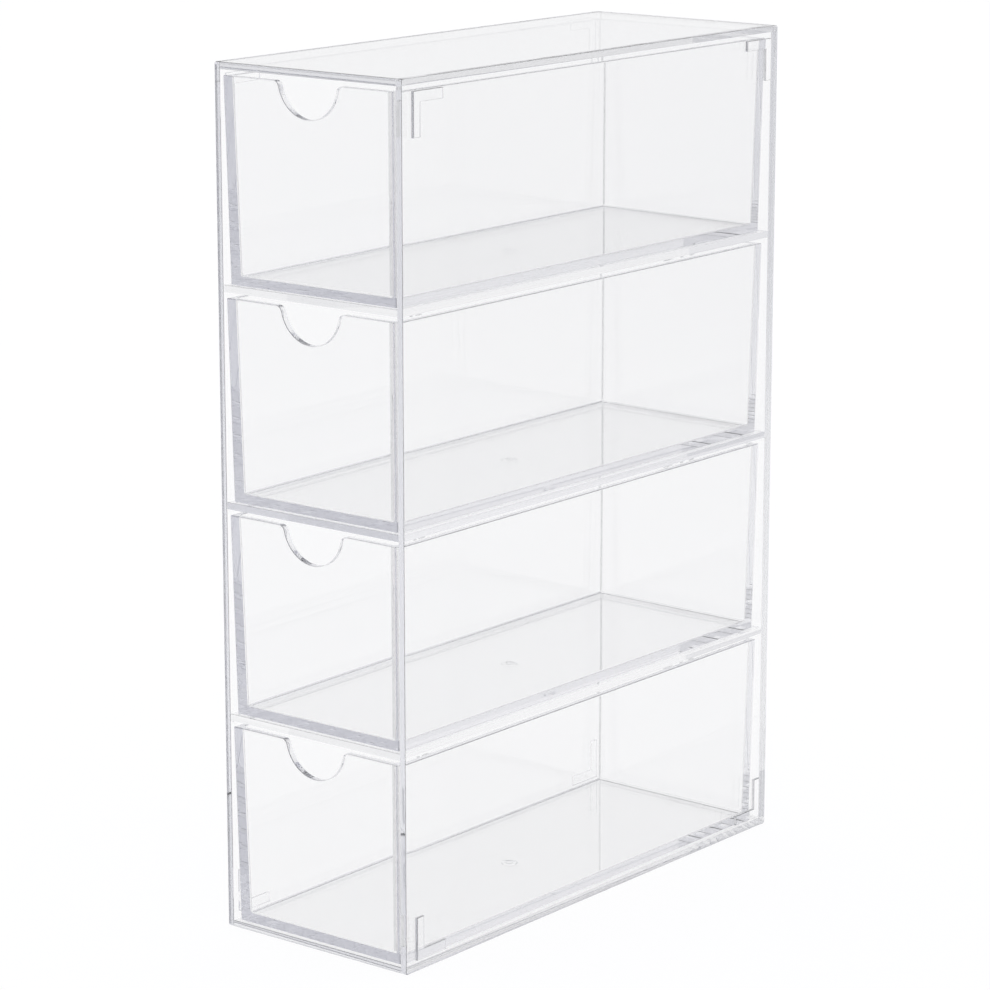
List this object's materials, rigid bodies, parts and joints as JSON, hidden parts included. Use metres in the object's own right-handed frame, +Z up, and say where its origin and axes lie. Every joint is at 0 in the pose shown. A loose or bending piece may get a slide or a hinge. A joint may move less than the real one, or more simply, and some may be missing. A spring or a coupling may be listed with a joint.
{
  "type": "eyeglass organizer",
  "caption": "Tall narrow clear acrylic case, open at the front, with a stack of pull-out trays, each with a half-round finger notch in its front wall.",
  "frame": {"origin": "middle of the footprint, on the surface that the case stands on", "axes": "+Z up along the case's height, -Y out of the open front, +X towards the right side seen from the front"},
  "size_m": [0.0686, 0.175, 0.25],
  "materials": {
    "panel_acrylic": "clear, polished faces with slightly milky cut edges",
    "drawer_acrylic": "clear, moulded and polished"
  },
  "bodies": {
    "casing": {"left_side_panel": "panel_acrylic", "right_side_panel": "panel_acrylic", "top_panel": "panel_acrylic", "bottom_panel": "panel_acrylic", "back_panel": "panel_acrylic", "shelf_1": "panel_acrylic", "shelf_2": "panel_acrylic", "shelf_3": "panel_acrylic"},
    "top_drawer": {"drawer_1": "drawer_acrylic"},
    "upper_drawer": {"drawer_2": "drawer_acrylic"},
    "lower_drawer": {"drawer_3": "drawer_acrylic"},
    "bottom_drawer": {"drawer_4": "drawer_acrylic"}
  },
  "joints": [
    {"name": "top_drawer_slide", "type": "slide", "parent": "casing", "child": "top_drawer", "axis": [0, -1, 0], "range_m": [0, 0.175]},
    {"name": "upper_drawer_slide", "type": "slide", "parent": "casing", "child": "upper_drawer", "axis": [0, -1, 0], "range_m": [0, 0.175]},
    {"name": "lower_drawer_slide", "type": "slide", "parent": "casing", "child": "lower_drawer", "axis": [0, -1, 0], "range_m": [0, 0.175]},
    {"name": "bottom_drawer_slide", "type": "slide", "parent": "casing", "child": "bottom_drawer", "axis": [0, -1, 0], "range_m": [0, 0.175]}
  ]
}
